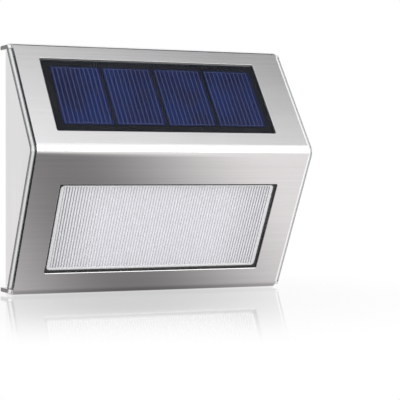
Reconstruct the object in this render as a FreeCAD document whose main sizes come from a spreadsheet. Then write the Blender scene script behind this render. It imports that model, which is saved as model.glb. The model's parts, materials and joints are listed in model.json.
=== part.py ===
import FreeCAD, Part
import math
import os
import re

import Sketcher

# Solar fence light, millimetres. The wall plane is y = 0, the light faces -y, +z is up and x = 0
# is its middle. The origin is the middle of the flat back that lies against the wall.
# Names ending in Y, and "depth", count forward from the wall.

doc = FreeCAD.newDocument("FenceLight")

# ---- driving dimensions ----

sizes = {
    # outer form, on the outside of the steel cover
    "coverWidth": 116.0,
    "edgeProud": 2.0,             # clear edges beyond the cover at both ends
    "overallHeight": 100.0,
    "foldDepth": 42.0,            # wall to the sharp corner of the fold
    "foldHeight": 7.5,            # that corner above mid height
    "topLip": 9.5,                # wall to the upper bend
    "bottomLip": 10.0,            # wall to the lower bend
    "foldRadius": 4.6,
    "lipRadius": 2.5,
    "leastRadius": 0.2,
    "steelThick": 0.5,
    "edgeBreak": 0.2,             # bevel round the cover's windows
    "bondGap": 0.3,               # glue line under the steel
    "rearGap": 0.4,               # wall to the rear edges of the steel
    "cutOver": 1.0,               # overrun of cuts past a face

    # clear housing
    "shellWall": 1.6,
    "endWall": 1.6,
    "bossRadius": 3.0,
    "bossGap": 0.4,               # screw bosses clear of the back plate's rim

    # steel plates in the two ends
    "plateThick": 0.4,
    "plateGap": 0.45,

    # window and tray of the solar panel in the upper slope
    "solarWidth": 93.8,
    "solarHeight": 36.8,
    "solarLift": 0.85,            # above the middle of the slope
    "solarShift": -1.4,           # the window sits a little left of the middle
    "windowCorner": 0.6,
    "panelGap": 0.35,
    "panelSink": 0.35,            # panel face below the steel face
    "laminateThick": 0.55,
    "cellThick": 0.25,
    "cellCount": 4,
    "cellSpace": 1.5,
    "cellSideBorder": 3.1,
    "cellEndBorder": 3.45,
    "panelBoardThick": 1.5,
    "padThick": 0.4,
    "padBorder": 3.0,
    "trayFloor": 1.2,
    "trayWall": 1.6,
    "panelLeadX": 5.0,
    "panelLeadInset": 7.65,       # lead holes from the panel's upper edge
    "panelLeadHole": 1.8,

    # window of the lens in the lower slope
    "lensWindowWidth": 93.6,
    "lensWindowHeight": 40.5,
    "lensSag": 2.9,               # below the middle of the slope
    "lensShift": 0.3,
    "gasketWidth": 0.8,
    "lensSink": 1.2,              # plain margin of the lens below the steel face
    "lensThick": 2.2,
    "lensMargin": 1.3,
    "lensCorner": 1.6,
    "ribPitch": 1.17,
    "ribCrest": 0.2,
    "ribDeep": 0.45,
    "ledgeWidth": 1.6,
    "ledgeThick": 1.2,

    # silvered tray behind the lens
    "reflectorWall": 0.8,
    "reflectorRise": 2.4,         # inside of its back in front of the lamp board
    "reflectorTaper": 3.4,
    "reflectorUp": 14.0,          # upper and lower edges of its back from the lamps
    "reflectorDown": 16.5,
    "reflectorGap": 0.3,

    # lamps and the circuit boards
    "ledPitch": 28.0,
    "ledRaise": 2.8,              # above the middle of the lens
    "ledRadius": 2.5,
    "ledFlange": 2.9,
    "ledFlangeThick": 1.0,
    "ledLong": 6.4,
    "ledBevel": 0.7,
    "ledHoleGap": 0.3,
    "postHigh": 4.2,
    "postRadius": 2.4,
    "circuitThick": 1.2,
    "ledBoardEnd": 10.0,
    "ledBoardHeight": 11.0,
    "ledPostStep": 6.5,
    "controlWidth": 40.0,
    "controlHeight": 13.6,
    "controlRaise": 1.4,          # above the keyholes
    "controlPostInset": 3.4,
    "chipLong": 5.0,
    "chipWide": 4.0,
    "chipHigh": 1.6,
    "chipX": -10.8,
    "chipRise": 1.8,
    "coilRadius": 3.2,
    "coilWaist": 2.4,
    "coilFlange": 0.8,
    "coilHigh": 4.2,
    "coilX": 8.6,
    "coilDrop": 2.6,

    # back plate
    "backThick": 2.2,
    "backGap": 0.4,
    "rimInset": 1.4,
    "rimThick": 1.3,
    "rimDeep": 3.2,
    "sealGap": 0.1,
    "sealShort": 1.0,

    # keyhole hangers
    "cupClear": 4.0,              # cups inward of the housing's screw bosses
    "keyholeInset": 13.0,         # round entries below the plate's upper edge
    "keyholeEntry": 4.5,
    "keyholeNeck": 2.2,
    "keyholeRise": 5.0,
    "cupRoom": 0.5,
    "cupWall": 1.2,
    "cupDeep": 4.0,

    # battery and its bay
    "batteryRadius": 7.15,
    "batteryLong": 49.2,
    "nubRadius": 2.75,
    "nubLong": 1.2,
    "batteryClear": 0.4,
    "batteryEdge": 0.7,
    "bayDrop": 19.2,              # below the keyholes
    "baySideRoom": 0.65,
    "bayWall": 1.4,
    "contactSpace": 2.5,
    "contactThick": 0.4,
    "contactHeight": 9.0,
    "contactInset": 0.75,
    "contactFoot": 2.0,
    "contactBowFlat": 1.2,
    "contactGap": 0.05,
    "doorWing": 10.3,             # door beyond the bay, at its ends and its sides
    "doorMargin": 2.9,
    "doorThick": 1.8,
    "doorGap": 0.3,
    "doorCorner": 2.0,
    "doorSealThick": 0.5,
    "doorSealWidth": 1.6,
    "doorSealInset": 0.6,
    "doorLedge": 1.5,
    "doorScrewInset": 4.0,
    "doorBossFloor": 1.3,

    # slide switch
    "switchGap": 1.2,             # from the rim and from the seat of the door
    "switchTravel": 3.0,
    "switchLong": 13.0,
    "switchWide": 8.4,
    "switchDeep": 5.4,
    "switchWall": 0.9,
    "earThick": 0.6,
    "earLong": 4.3,
    "earHole": 1.9,               # ear screws from the switch's case
    "earScrewLong": 2.0,
    "knobSide": 4.0,
    "knobProud": 1.6,             # knob beyond the ears, into the back plate's slot
    "knobGrooves": 3,
    "knobGroove": 0.5,
    "knobGrooveDeep": 0.25,
    "slideGap": 0.3,
    "slideThick": 3.8,
    "dishDeep": 0.7,
    "dishMargin": 1.6,

    # screws
    "caseScrewHead": 2.5,
    "caseScrewHeadHigh": 1.1,
    "caseScrewCross": 3.0,
    "caseScrewRadius": 1.3,
    "caseScrewLong": 7.5,
    "smallScrewHead": 1.8,
    "smallScrewHeadHigh": 1.1,
    "smallScrewCross": 2.2,
    "smallScrewRadius": 0.9,
    "smallScrewLong": 3.6,
    "screwTip": 0.6,
    "screwGap": 0.05,
    "headGap": 0.3,
    "headSink": 0.1,
    "pilotOver": 0.5,
    "headBevel": 0.4,
    "recessDeep": 0.6,
    "recessWide": 0.5,

    # leads, placed from what they pass
    "leadRadius": 0.6,
    "leadGap": 0.5,
    "leadPitch": 1.8,
    "bayLeadOut": 3.4,
    "bayLeadOver": 3.0,
    "bayLeadEndX": 3.2,
    "bayLeadEndZ": 4.2,
    "lampLeadOut": 2.1,
    "lampLeadOver": 1.8,
    "lampLeadStartX": 0.2,
    "lampLeadStartZ": 4.4,
    "lampLeadEndZ": 4.0,
    "switchLeadOut": 3.8,
    "switchLeadEndX": 1.6,
    "switchLeadEndZ": 5.4,
}

# sizes that follow from the driving ones
derived = {
    "overallWidth": "coverWidth + 2 * edgeProud",
    "upperLean": "atan((foldDepth - topLip) / (overallHeight / 2 - foldHeight))",
    "lowerLean": "atan((foldDepth - bottomLip) / (overallHeight / 2 + foldHeight))",
    "solarRise": "(overallHeight / 2 - foldHeight) / cos(upperLean) / 2 + solarLift",
    "lensDrop": "(overallHeight / 2 + foldHeight) / cos(lowerLean) / 2 + lensSag",
    "shellInset": "steelThick + bondGap",
    "innerInset": "shellInset + shellWall",
    "endInset": "plateThick + bondGap",
    "innerWidth": "coverWidth - 2 * endInset - 2 * endWall",
    "innerHeight": "overallHeight - 2 * innerInset",

    "panelWidth": "solarWidth - 2 * panelGap",
    "panelHeight": "solarHeight - 2 * panelGap",
    "cellTop": "-(panelSink + laminateThick - cellThick)",
    "cellBack": "-(panelSink + laminateThick)",
    "cellPitch": "(panelWidth - 2 * cellSideBorder + cellSpace) / cellCount",
    "cellWidth": "cellPitch - cellSpace",
    "cellHeight": "panelHeight - 2 * cellEndBorder",
    "panelBack": "panelSink + laminateThick + panelBoardThick",
    "trayDeep": "panelBack + padThick",
    "panelLeadRise": "solarRise + panelHeight / 2 - panelLeadInset",

    "lensWidth": "lensWindowWidth - 2 * gasketWidth",
    "lensHeight": "lensWindowHeight - 2 * gasketWidth",
    "lensBack": "lensSink + lensThick",
    "ledgeBack": "lensBack + ledgeThick",
    "lightWidth": "lensWidth - 2 * ledgeWidth",
    "lightHeight": "lensHeight - 2 * ledgeWidth",
    "ribCount": "floor((lensWidth - 2 * lensMargin) / ribPitch)",

    "backWidth": "innerWidth - 2 * backGap",
    "backHeight": "innerHeight - 2 * backGap",
    "rimWidth": "backWidth - 2 * rimInset",
    "rimHeight": "backHeight - 2 * rimInset",
    "bossX": "rimWidth / 2 - rimThick - bossGap - bossRadius",
    "bossZ": "rimHeight / 2 - rimThick - bossGap - bossRadius",
    "sealDeep": "rimDeep - sealShort",
    "keyholeZ": "backHeight / 2 - keyholeInset",
    "cupRadius": "keyholeEntry + cupRoom",
    "keyholeX": "bossX - bossRadius - cupClear - cupRadius - cupWall",

    "boardY": "backThick + postHigh",
    "boardFront": "boardY + circuitThick",
    "ledZ": "foldHeight - lensDrop * cos(lowerLean) + ledRaise",
    "ledBoardWidth": "2 * (ledPitch + ledBoardEnd)",
    "ledPostX": "ledPitch + ledPostStep",
    "reflectorY": "boardFront + reflectorRise",
    "reflectorWidth": "lightWidth - 2 * reflectorTaper",
    "controlZ": "keyholeZ + controlRaise",
    "controlPostX": "controlWidth / 2 - controlPostInset",

    "bayZ": "keyholeZ - bayDrop",
    "bayLong": "batteryLong + nubLong + 2 * contactSpace",
    "bayHeight": "2 * (batteryRadius + baySideRoom)",
    "batteryY": "doorThick + batteryClear + batteryRadius",
    "bayDeep": "batteryY + batteryRadius + batteryClear",
    "contactReach": "batteryRadius - contactInset",
    "contactBowBase": "contactReach - contactFoot",
    "doorLong": "bayLong + 2 * doorWing",
    "doorHeight": "bayHeight + 2 * doorMargin",
    "doorSeat": "doorThick + doorSealThick",
    "doorScrewX": "doorLong / 2 - doorScrewInset",
    "doorBossDeep": "smallHeadSeat + smallScrewLong + pilotOver + doorBossFloor",

    "earSpan": "switchLong + 2 * earLong",
    "earHoleX": "switchLong / 2 + earHole",
    "switchX": "rimWidth / 2 - rimThick - switchGap - earSpan / 2",
    "switchZ": "bayZ - doorHeight / 2 - doorGap - doorLedge - switchGap - switchWide / 2",
    "switchRear": "backThick + earThick + switchDeep",
    "knobRestX": "switchX - switchTravel / 2",
    "wayWide": "knobSide + 2 * slideGap",
    "wayLong": "wayWide + switchTravel",

    "smallHole": "smallScrewRadius + screwGap",
    "headSeat": "caseScrewHeadHigh + headSink",
    "smallHeadSeat": "smallScrewHeadHigh + headSink",

    "bayLeadY": "batteryY + contactReach - contactFoot / 2",
    "bayLeadX": "bayLong / 2 + bayWall + bayLeadOut",
    "bayTop": "bayZ + bayHeight / 2 + bayWall",
}

sheet = doc.addObject("Spreadsheet::Sheet", "Sizes")
for row, (alias, size) in enumerate(sizes.items(), start=1):
    sheet.set(f"A{row}", alias)
    sheet.set(f"B{row}", str(size))
    sheet.setAlias(f"B{row}", alias)
doc.recompute()

nodes = []


def anyOf(names):
    return re.compile(r"\b(" + "|".join(names) + r")\b")


sizeNames, derivedNames = anyOf(sizes), anyOf(derived)


def bound(text):
    """Writes out the derived sizes and points the driving ones to the sheet."""
    while derivedNames.search(text):
        text = derivedNames.sub(lambda found: f"({derived[found[0]]})", text)
    return sizeNames.sub(r"Sizes.\1", text)


def value(text):
    result = sheet.evalExpression(bound(text))
    return float(getattr(result, "Value", result))


leadSides = 8
slopes = {"upper": "upperLean", "lower": "(-lowerLean)"}
windows = {
    "upper": ("solarShift", "solarRise", "solarWidth", "solarHeight"),
    "lower": ("lensShift", "-lensDrop", "lensWindowWidth", "lensWindowHeight"),
}


# ---- sketches ----

def newBody(label):
    body = doc.addObject("PartDesign::Body", label)
    body.Label = label
    body.AllowCompound = True
    nodes.append(body)
    return body


def sketchOn(body, plane, x="0", y="0", z="0", turn="0"):
    """Sketch on an origin plane of the body, moved by x, y, z and turned about its own x axis."""
    sketch = body.newObject("Sketcher::SketchObject", f"{body.Name}_sketch")
    support = [item for item in body.Origin.OriginFeatures if item.Role == plane][0]
    sketch.AttachmentSupport = [(support, "")]
    sketch.MapMode = "FlatFace"
    turned = FreeCAD.Rotation(FreeCAD.Vector(1, 0, 0), 1)
    sketch.AttachmentOffset = FreeCAD.Placement(FreeCAD.Vector(), turned)
    for name, text in {"Base.x": x, "Base.y": y, "Base.z": z, "Rotation.Angle": turn}.items():
        sketch.setExpression(f"AttachmentOffset.{name}", bound(text))
    return sketch


def onBack(body, x="0", z="0", depth="0"):
    """Sketch parallel to the wall; its normal points forward."""
    return sketchOn(body, "XZ_Plane", x, z, depth)


def slopeSpot(slope, rise, height):
    """Height above mid height and distance from the wall of a spot on a slope."""
    tilt = slopes[slope]
    up = f"(foldHeight + ({rise}) * cos({tilt}) + ({height}) * sin({tilt}))"
    out = f"(foldDepth - ({rise}) * sin({tilt}) + ({height}) * cos({tilt}))"
    return up, out


def onSlope(body, slope, x, rise, height):
    """Sketch parallel to a slope, rise up along it from the fold corner and height outside the
    steel face; its normal points outward."""
    up, out = slopeSpot(slope, rise, height)
    return sketchOn(body, "XZ_Plane", x, up, out, f"-({slopes[slope]})")


def acrossSlope(body, slope, x, rise, height):
    """Sketch square to a slope; its normal points up the slope, its y axis into the light."""
    up, out = slopeSpot(slope, rise, height)
    return sketchOn(body, "XY_Plane", x, f"-{out}", up, f"-({slopes[slope]})")


def bind(sketch, kind, references, text):
    """Adds a dimension that follows an expression; a plain 0 ties the point to an axis."""
    if text == "0":
        axis = -2 if kind == "DistanceX" else -1
        sketch.addConstraint(Sketcher.Constraint("PointOnObject", *references[-2:], axis))
        return
    index = sketch.addConstraint(Sketcher.Constraint(kind, *references, value(text)))
    name = f"size{index}"
    sketch.renameConstraint(index, name)
    sketch.setExpression(f"Constraints.{name}", bound(text))


def pin(sketch, geometry, position, x, y):
    bind(sketch, "DistanceX", (-1, 1, geometry, position), x)
    bind(sketch, "DistanceY", (-1, 1, geometry, position), y)


def circle(sketch, x, y, size):
    centre = FreeCAD.Vector(value(x), value(y), 0)
    ring = sketch.addGeometry(Part.Circle(centre, FreeCAD.Vector(0, 0, 1), value(size)), False)
    pin(sketch, ring, 3, x, y)
    bind(sketch, "Radius", (ring,), size)


def arcBetween(centre, size, first, last):
    """Arc drawn anticlockwise from first to last."""
    angles = [math.atan2(spot.y - centre.y, spot.x - centre.x) for spot in (first, last)]
    return Part.ArcOfCircle(Part.Circle(centre, FreeCAD.Vector(0, 0, 1), size), *angles)


def outline(sketch, corners):
    """Closed run of straight lines; a corner (x, y, size) is rounded by an arc of that size."""
    spots = [FreeCAD.Vector(value(corner[0]), value(corner[1]), 0) for corner in corners]
    enters = list(spots)
    leaves = list(spots)
    arcs = {}
    for index, corner in enumerate(corners):
        if len(corner) < 3:
            continue
        spot = spots[index]
        before = (spots[index - 1] - spot).normalize()
        after = (spots[(index + 1) % len(corners)] - spot).normalize()
        half = before.getAngle(after) / 2
        size = value(corner[2])
        centre = spot + (before + after).normalize() * (size / math.sin(half))
        enters[index] = spot + before * (size / math.tan(half))
        leaves[index] = spot + after * (size / math.tan(half))
        left = before.cross(after).z < 0
        ends = (enters[index], leaves[index]) if left else (leaves[index], enters[index])
        arcs[index] = (sketch.addGeometry(arcBetween(centre, size, *ends), False), left)
    lines = []
    for index in range(len(corners)):
        run = Part.LineSegment(leaves[index], enters[(index + 1) % len(corners)])
        lines.append(sketch.addGeometry(run, False))
    for index, corner in enumerate(corners):
        before, after = lines[index - 1], lines[index]
        if index not in arcs:
            sketch.addConstraint(Sketcher.Constraint("Coincident", before, 2, after, 1))
            pin(sketch, after, 1, corner[0], corner[1])
            continue
        arc, left = arcs[index]
        enter, leave = (1, 2) if left else (2, 1)
        sketch.addConstraint(Sketcher.Constraint("Tangent", before, 2, arc, enter))
        sketch.addConstraint(Sketcher.Constraint("Tangent", arc, leave, after, 1))
        sharp = sketch.addGeometry(Part.Point(spots[index]), True)
        sketch.addConstraint(Sketcher.Constraint("PointOnObject", sharp, 1, before))
        sketch.addConstraint(Sketcher.Constraint("PointOnObject", sharp, 1, after))
        pin(sketch, sharp, 1, corner[0], corner[1])
        bind(sketch, "Radius", (arc,), corner[2])


def rectangle(sketch, width, height, corner=None, x="0", y="0"):
    """Rectangle about (x, y), with rounded corners where a radius is given."""
    rounding = (corner,) if corner else ()
    signs = ((-1, -1), (1, -1), (1, 1), (-1, 1))
    outline(sketch, [
        (f"({x}) + {side} * ({width}) / 2", f"({y}) + {level} * ({height}) / 2", *rounding)
        for side, level in signs
    ])


def slot(sketch, low, high, size):
    """Upright slot with round ends, centred on (0, low) and (0, high)."""
    lowSpot, highSpot = (FreeCAD.Vector(0, value(text), 0) for text in (low, high))
    side = FreeCAD.Vector(value(size), 0, 0)
    bottom = sketch.addGeometry(arcBetween(lowSpot, side.x, lowSpot - side, lowSpot + side), False)
    top = sketch.addGeometry(arcBetween(highSpot, side.x, highSpot + side, highSpot - side), False)
    right = sketch.addGeometry(Part.LineSegment(lowSpot + side, highSpot + side), False)
    left = sketch.addGeometry(Part.LineSegment(highSpot - side, lowSpot - side), False)
    joints = ((bottom, 2, right, 1), (right, 2, top, 1), (top, 2, left, 1), (left, 2, bottom, 1))
    for joint in joints:
        sketch.addConstraint(Sketcher.Constraint("Tangent", *joint))
    pin(sketch, bottom, 3, "0", low)
    pin(sketch, top, 3, "0", high)
    sketch.addConstraint(Sketcher.Constraint("Equal", bottom, top))
    bind(sketch, "Radius", (bottom,), size)


# ---- features ----

def feature(body, kind, sketch, length, both, flip):
    item = body.newObject(f"PartDesign::{kind}", f"{body.Name}_{kind}")
    item.Profile = sketch
    item.setExpression("Length", bound(length))
    item.SideType = "Symmetric" if both else "One side"
    item.Reversed = flip
    return item


def pad(body, sketch, length, both=False, flip=False):
    """Adds along the sketch's normal, or against it with flip."""
    return feature(body, "Pad", sketch, length, both, flip)


def pocket(body, sketch, length, both=False, flip=False):
    """Cuts against the sketch's normal, or along it with flip."""
    return feature(body, "Pocket", sketch, length, both, flip)


def revolve(body, sketch, axis):
    turned = body.newObject("PartDesign::Revolution", f"{body.Name}_turned")
    turned.Profile = sketch
    turned.ReferenceAxis = (sketch, [axis])
    turned.Angle = 360
    return turned


def profile(sketch, inset, rear):
    """Side profile on the YZ plane, inset from the steel face, its rear edge forward of the wall."""
    half = f"(overallHeight / 2 - {inset})"
    topBend = f"-(topLip - {inset} * tan((90 deg - upperLean) / 2))"
    bottomBend = f"-(bottomLip - {inset} * tan((90 deg - lowerLean) / 2))"
    reach = f"({inset} / cos((upperLean + lowerLean) / 2))"
    foldY = f"-(foldDepth - {reach} * cos((upperLean - lowerLean) / 2))"
    foldZ = f"(foldHeight - {reach} * sin((upperLean - lowerLean) / 2))"
    lip = f"max(lipRadius - {inset}; leastRadius)"
    fold = f"max(foldRadius - {inset}; leastRadius)"
    outline(sketch, [
        (f"-({rear})", half),
        (topBend, half, lip),
        (foldY, foldZ, fold),
        (bottomBend, f"-{half}", lip),
        (f"-({rear})", f"-{half}"),
    ])


def across(body, x="0"):
    """Sketch square to the light's length; its normal points to +x."""
    return sketchOn(body, "YZ_Plane", "0", "0", x)


# ---- steel cover and end plates ----

def frontCover():
    body = newBody("front_cover")
    outer = across(body)
    profile(outer, "0", "rearGap")
    pad(body, outer, "coverWidth", both=True)
    inner = across(body)
    profile(inner, "steelThick", "-cutOver")
    pocket(body, inner, "coverWidth + 2 * cutOver", both=True)
    for slope, (shift, rise, width, height) in windows.items():
        window = onSlope(body, slope, shift, rise, "-steelThick / 2")
        rectangle(window, width, height, "windowCorner")
        pocket(body, window, "steelThick + 2 * cutOver", both=True)
    breakWindowEdges(body)


def breakWindowEdges(body):
    """Bevels the outer edges of both windows: the ones on a slope's face, clear of its rim."""
    doc.recompute()
    cut = body.Tip
    found = []
    for index, edge in enumerate(cut.Shape.Edges, start=1):
        middle = edge.CenterOfMass
        inside = abs(middle.x) < sizes["coverWidth"] / 2 - sizes["steelThick"]
        for slope, lean in slopes.items():
            tilt = math.radians(value(lean))
            up, out = middle.z - sizes["foldHeight"], -middle.y - sizes["foldDepth"]
            rise = up * math.cos(tilt) - out * math.sin(tilt)
            height = up * math.sin(tilt) + out * math.cos(tilt)
            level = abs(height) < sizes["edgeBreak"] / 10
            middleRise, high = (value(text) for text in windows[slope][1::2])
            if inside and level and abs(rise - middleRise) < high / 2 + sizes["edgeBreak"]:
                found.append(f"Edge{index}")
    bevel = body.newObject("PartDesign::Chamfer", "front_cover_bevel")
    bevel.Base = (cut, found)
    bevel.setExpression("Size", "Sizes.edgeBreak")


def sidePlate(label, rearFace):
    """Thin plate between the clear edges, its rear face at x."""
    body = newBody(label)
    shape = across(body, rearFace)
    profile(shape, "(innerInset + plateGap)", "rearGap")
    pad(body, shape, "plateThick")


# ---- clear housing ----

def lightHousing():
    body = newBody("light_housing")
    outer = across(body)
    profile(outer, "shellInset", "0")
    pad(body, outer, "overallWidth", both=True)
    inside = across(body)
    profile(inside, "innerInset", "-cutOver")
    pocket(body, inside, "innerWidth", both=True)

    tray = onSlope(body, "upper", "solarShift", "solarRise", "-(shellInset + shellWall / 2)")
    rectangle(tray, "solarWidth + 2 * trayWall", "solarHeight + 2 * trayWall", "windowCorner")
    pad(body, tray, "trayDeep + trayFloor - shellInset - shellWall / 2", flip=True)

    frame = onSlope(body, "lower", "lensShift", "-lensDrop", "-(shellInset + shellWall / 2)")
    wide, high = ("lensWindowWidth + 2 * trayWall", "lensWindowHeight + 2 * trayWall")
    rectangle(frame, wide, high, "windowCorner")
    pad(body, frame, "ledgeBack - shellInset - shellWall / 2", flip=True)

    # the screw bosses run through the slopes and are then trimmed to the outer profile
    bosses = onBack(body, depth="backThick + screwGap")
    for side in (-1, 1):
        for level in (-1, 1):
            circle(bosses, f"{side} * bossX", f"{level} * bossZ", "bossRadius")
    pad(body, bosses, "foldDepth - backThick")
    trim = across(body)
    profile(trim, "shellInset", "-cutOver")
    outline(trim, [
        ("2 * cutOver", "overallHeight"),
        ("-2 * foldDepth", "overallHeight"),
        ("-2 * foldDepth", "-overallHeight"),
        ("2 * cutOver", "-overallHeight"),
    ])
    pocket(body, trim, "overallWidth + 2 * cutOver", both=True)

    recess = onSlope(body, "upper", "solarShift", "solarRise", "-shellInset + cutOver")
    rectangle(recess, "solarWidth", "solarHeight", "windowCorner")
    pocket(body, recess, "trayDeep - shellInset + cutOver")
    wireHoles = onSlope(body, "upper", "0", "panelLeadRise", "-trayDeep")
    for side in (-1, 1):
        circle(wireHoles, f"{side} * panelLeadX", "0", "panelLeadHole")
    pocket(body, wireHoles, "trayFloor + cutOver")

    rebate = onSlope(body, "lower", "lensShift", "-lensDrop", "-shellInset + cutOver")
    rectangle(rebate, "lensWindowWidth", "lensWindowHeight", "windowCorner")
    pocket(body, rebate, "lensBack - shellInset + cutOver")
    light = onSlope(body, "lower", "lensShift", "-lensDrop", "-lensBack")
    rectangle(light, "lightWidth", "lightHeight", "lensCorner")
    pocket(body, light, "ledgeThick + cutOver")

    for end, flip in (("overallWidth / 2", False), ("-overallWidth / 2", True)):
        hollow = across(body, end)
        profile(hollow, "innerInset", "-cutOver")
        pocket(body, hollow, "(overallWidth - coverWidth) / 2 + endInset", flip=flip)

    pilots = onBack(body, depth="backThick")
    for side in (-1, 1):
        for level in (-1, 1):
            circle(pilots, f"{side} * bossX", f"{level} * bossZ", "caseScrewRadius + screwGap")
    pocket(body, pilots, "headSeat + caseScrewLong - backThick + pilotOver", flip=True)


# ---- solar panel, listed from its face to its pad ----

def solarSlab(label, height, thick, width="panelWidth", high="panelHeight", x="solarShift"):
    body = newBody(label)
    face = onSlope(body, "upper", x, "solarRise", height)
    rectangle(face, width, high)
    pad(body, face, thick, flip=True)
    return body


def cellPlace(index):
    return f"(({index} - (cellCount - 1) / 2) * cellPitch)"


def solarPanel():
    cells = range(int(sizes["cellCount"]))
    laminate = solarSlab("solar_cover_sheet", "-panelSink", "laminateThick")
    beds = onSlope(laminate, "upper", "solarShift", "solarRise", "cellBack")
    for index in cells:
        rectangle(beds, "cellWidth", "cellHeight", x=cellPlace(index))
    pocket(laminate, beds, "cellThick", flip=True)
    for index in cells:
        place = f"solarShift + {cellPlace(index)}"
        label = f"solar_cell_{index + 1}"
        solarSlab(label, "cellTop", "cellThick", "cellWidth", "cellHeight", place)
    solarSlab("solar_board", "cellBack", "panelBoardThick")
    body = newBody("solar_pad")
    ring = onSlope(body, "upper", "solarShift", "solarRise", "-panelBack")
    rectangle(ring, "panelWidth", "panelHeight")
    rectangle(ring, "panelWidth - 2 * padBorder", "panelHeight - 2 * padBorder")
    pad(body, ring, "padThick", flip=True)


# ---- lens with its upright ribs, its seal and the silvered tray behind it ----

def ribbedLens():
    body = newBody("ribbed_lens")
    face = onSlope(body, "lower", "lensShift", "-lensDrop", "-lensSink")
    rectangle(face, "lensWidth", "lensHeight", "lensCorner")
    pad(body, face, "lensThick", flip=True)

    first = "lensShift - (ribCount - 1) / 2 * ribPitch"
    groove = acrossSlope(body, "lower", first, "-lensDrop", "-lensSink")
    half = "((ribPitch - ribCrest) / 2)"
    outline(groove, [
        (f"-{half}", "-cutOver"),
        (half, "-cutOver"),
        (half, "0"),
        ("0", "ribDeep"),
        (f"-{half}", "0"),
    ])
    cut = pocket(body, groove, "lensHeight - 2 * lensMargin", both=True)
    ribs = body.newObject("PartDesign::LinearPattern", "ribbed_lens_ribs")
    ribs.Originals = [cut]
    ribs.Direction = (groove, ["H_Axis"])
    ribs.setExpression("Length", bound("(ribCount - 1) * ribPitch"))
    ribs.setExpression("Occurrences", bound("ribCount"))
    body.Tip = ribs


def lensGasket():
    body = newBody("lens_gasket")
    ring = onSlope(body, "lower", "lensShift", "-lensDrop", "-shellInset")
    rectangle(ring, "lensWindowWidth", "lensWindowHeight", "windowCorner")
    rectangle(ring, "lensWidth", "lensHeight", "lensCorner")
    pad(body, ring, "lensBack - shellInset", flip=True)


def reflector():
    body = newBody("reflector")
    middle = "(ledZ + (reflectorUp - reflectorDown) / 2)"
    frontHeight = "-(ledgeBack + reflectorGap)"
    shells = (
        ("AdditiveLoft", "reflectorY - reflectorWall", "2 * reflectorWall"),
        ("SubtractiveLoft", "reflectorY", "0 * reflectorWall"),
    )
    for kind, depth, extra in shells:
        rear = onBack(body, "0", middle, depth)
        rectangle(rear, f"reflectorWidth + {extra}", f"reflectorUp + reflectorDown + {extra}")
        front = onSlope(body, "lower", "lensShift", "-lensDrop", frontHeight)
        rectangle(front, f"lightWidth + {extra}", f"lightHeight + {extra}")
        loft = body.newObject(f"PartDesign::{kind}", f"reflector_{kind}")
        loft.Profile = rear
        loft.Sections = [front]
        loft.Ruled = True
    holes = onBack(body, "0", "ledZ", "reflectorY")
    for index in (-1, 0, 1):
        circle(holes, f"{index} * ledPitch", "0", "ledRadius + ledHoleGap")
    pocket(body, holes, "reflectorWall + cutOver")


# ---- lamps and circuit boards ----

def led(label, index):
    body = newBody(label)
    half = sketchOn(body, "XY_Plane", f"{index} * ledPitch", "0", "ledZ")
    tip = "-(boardFront + ledLong)"
    step = "-(boardFront + ledFlangeThick)"
    outline(half, [
        ("0", "-boardFront"),
        ("0", tip),
        ("ledRadius - ledBevel", tip),
        ("ledRadius", f"{tip} + ledBevel"),
        ("ledRadius", step),
        ("ledFlange", step),
        ("ledFlange", "-boardFront"),
    ])
    revolve(body, half, "V_Axis")


def circuitBoard(label, z, width, height, holeX):
    body = newBody(label)
    face = onBack(body, "0", z, "boardY")
    rectangle(face, width, height)
    for side in (-1, 1):
        circle(face, f"{side} * {holeX}", "0", "smallScrewRadius + 2 * screwGap")
    pad(body, face, "circuitThick")


def driverChip():
    body = newBody("driver_chip")
    face = onBack(body, "chipX", "controlZ + chipRise", "boardFront")
    rectangle(face, "chipLong", "chipWide")
    pad(body, face, "chipHigh")


def inductor():
    body = newBody("inductor")
    half = sketchOn(body, "XY_Plane", "coilX", "0", "controlZ - coilDrop")
    levels = ("0", "coilFlange", "coilHigh - coilFlange", "coilHigh")
    low, step, rise, top = (f"-(boardFront + {level})" for level in levels)
    outline(half, [
        ("0", low),
        ("0", top),
        ("coilRadius", top),
        ("coilRadius", rise),
        ("coilWaist", rise),
        ("coilWaist", step),
        ("coilRadius", step),
        ("coilRadius", low),
    ])
    revolve(body, half, "V_Axis")


# ---- back plate ----

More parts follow.
